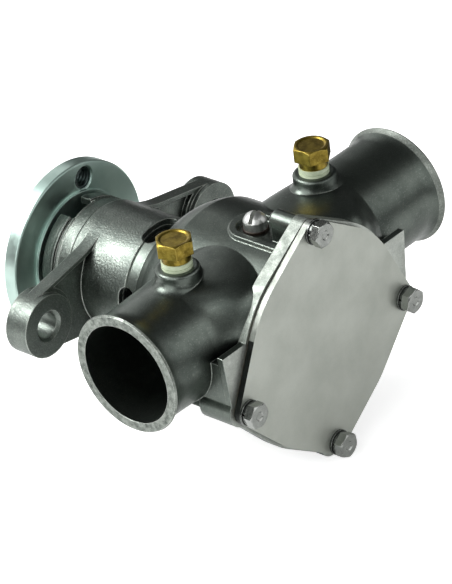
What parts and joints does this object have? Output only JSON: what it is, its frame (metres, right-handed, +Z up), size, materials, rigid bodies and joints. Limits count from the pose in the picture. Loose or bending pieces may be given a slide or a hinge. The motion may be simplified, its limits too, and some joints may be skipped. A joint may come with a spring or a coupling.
{
  "type": "engine raw water pump",
  "caption": "Flexible-impeller water pump with hose ports to both sides, cover plate, mounting ears and a drive flange on its shaft.",
  "frame": {"origin": "on the shaft axis, in the plane of the mounting ears' rear faces", "axes": "+X along the hose ports towards the longer one, +Y along the shaft from the cover plate to the drive flange, +Z up towards the plugs"},
  "size_m": [0.1754, 0.1521, 0.1192],
  "materials": {
    "cast_paint": "semi-gloss dark grey-green over a cast surface",
    "cover_metal": "satin, lightly marked",
    "gasket_paper": "matte gasket paper",
    "stainless": "satin",
    "bronze": "machined",
    "copper": "dull",
    "brass": "dull yellow brass with bright edges",
    "seal_washer": "matte off-white",
    "zinc_steel": "zinc plate, bluish",
    "bearing_steel": "ground",
    "cage_plastic": "matte",
    "rubber": "matte black",
    "ceramic": null,
    "carbon": null
  },
  "bodies": {
    "pump_casing": {"pump_body": "cast_paint", "bearing_housing": "cast_paint", "cover_plate": "cover_metal", "cover_gasket": "gasket_paper", "cover_bolts": "stainless", "cover_flat_washers": "stainless", "cover_spring_washers": "stainless", "cam": "bronze", "cam_screw": "stainless", "cam_screw_washer": "copper", "wear_plate": "stainless", "wear_plate_pin": "stainless", "seal_seat": "ceramic", "seal_seat_cup": "rubber", "lip_seal": "rubber", "bearing_outer_spacer": "bearing_steel", "bearing_retaining_ring": "bearing_steel", "left_port_plug": "brass", "right_port_plug": "brass", "left_plug_washer": "seal_washer", "right_plug_washer": "seal_washer", "front_bearing_outer_ring": "bearing_steel", "front_bearing_shields": "bearing_steel", "rear_bearing_outer_ring": "bearing_steel", "rear_bearing_shields": "bearing_steel"},
    "rotor": {"pump_shaft": "stainless", "impeller": "rubber", "impeller_insert": "bronze", "impeller_key": "stainless", "impeller_retaining_ring": "stainless", "seal_face": "carbon", "seal_bellows": "rubber", "seal_retainer": "stainless", "seal_spring": "stainless", "seal_spring_plate": "stainless", "slinger_ring": "rubber", "front_bearing_inner_ring": "bearing_steel", "rear_bearing_inner_ring": "bearing_steel", "bearing_inner_spacer": "bearing_steel", "drive_flange": "zinc_steel", "drive_flange_key": "bearing_steel", "drive_flange_washer": "zinc_steel", "drive_flange_nut": "zinc_steel"},
    "front_ball_set": {"front_bearing_balls": "bearing_steel", "front_bearing_cage": "cage_plastic"},
    "rear_ball_set": {"rear_bearing_balls": "bearing_steel", "rear_bearing_cage": "cage_plastic"}
  },
  "joints": [
    {"name": "shaft_spin", "type": "hinge", "parent": "pump_casing", "child": "rotor", "pos_m": [0, 0, 0], "axis": [0, 1, 0], "continuous": true, "deforming": ["impeller"]},
    {"name": "front_balls_spin", "type": "hinge", "parent": "pump_casing", "child": "front_ball_set", "pos_m": [0, -0.0137, 0], "axis": [0, 1, 0], "continuous": true},
    {"name": "rear_balls_spin", "type": "hinge", "parent": "pump_casing", "child": "rear_ball_set", "pos_m": [0, 0.0027, 0], "axis": [0, 1, 0], "continuous": true}
  ],
  "couplings": [
    {"joint": "front_balls_spin", "follows": "shaft_spin", "ratio": 0.39791},
    {"joint": "rear_balls_spin", "follows": "shaft_spin", "ratio": 0.39791}
  ]
}
